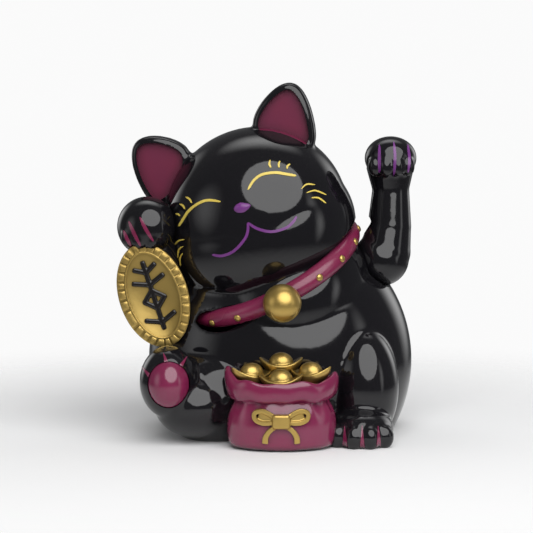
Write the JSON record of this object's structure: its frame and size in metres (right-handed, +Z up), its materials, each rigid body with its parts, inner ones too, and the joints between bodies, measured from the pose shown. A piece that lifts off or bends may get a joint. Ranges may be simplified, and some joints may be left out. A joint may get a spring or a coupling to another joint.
{
  "type": "beckoning cat figurine",
  "caption": "Seated black cat figurine with a battery-driven waving arm, an oval coin, a bell collar and a bag of ingots.",
  "frame": {"origin": "a point on the base plate's underside, just in front of the battery door, level with the surface the figurine stands on", "axes": "+Z up, -Y the way the figurine faces, +X towards the waving arm"},
  "size_m": [0.1284, 0.1121, 0.1494],
  "materials": {
    "gloss_black": "gloss",
    "gloss_plum": "gloss",
    "gold_paint": "satin",
    "yellow_paint": "satin",
    "violet_paint": "satin",
    "white_plastic": "matte",
    "black_plastic": "matte",
    "steel": "satin",
    "magnet": "satin",
    "copper_wire": "satin",
    "board": "satin",
    "cell_can": "gloss",
    "red_insulation": "satin"
  },
  "bodies": {
    "figurine": {"front_shell": "gloss_black", "rear_shell": "gloss_black", "holding_arm": "gloss_black", "coin": "gold_paint", "coin_emblem": "gloss_black", "collar": "gloss_plum", "bell": "gold_paint", "money_bag": "gloss_plum", "ingot_back": "gold_paint", "ingot_left": "gold_paint", "ingot_right": "gold_paint", "ingot_front": "gold_paint", "bow": "gold_paint", "base_plate": "black_plastic", "battery_cell": "cell_can", "contact_spring": "steel", "contact_plate_negative": "steel", "contact_plate_positive": "steel", "mechanism_frame": "white_plastic", "circuit_board": "board", "coil_bobbin": "white_plastic", "drive_coil": "copper_wire", "driver_chip": "black_plastic", "capacitor": "black_plastic", "wire_positive": "red_insulation", "wire_negative": "black_plastic", "base_screw_1": "steel", "base_screw_2": "steel", "base_screw_3": "steel", "base_screw_4": "steel", "frame_screw_1": "steel", "frame_screw_2": "steel"},
    "waving_arm": {"waving_arm_front": "gloss_black", "waving_arm_rear": "gloss_black", "arm_axle": "steel", "axle_clip_inner": "steel", "axle_clip_outer": "steel", "pendulum_lever": "white_plastic", "pendulum_weight": "steel", "pendulum_magnet": "magnet"},
    "battery_lid": {"battery_door": "black_plastic"}
  },
  "joints": [
    {"name": "arm_wave", "type": "hinge", "parent": "figurine", "child": "waving_arm", "pos_m": [0.0475, -0.002, 0.075], "axis": [1, 0, 0], "range_deg": [-22, 22]},
    {"name": "battery_door_hinge", "type": "hinge", "parent": "figurine", "child": "battery_lid", "pos_m": [0.0036, 0.00785, 0.0013], "axis": [-1, 0, 0], "range_deg": [0, 100]}
  ]
}
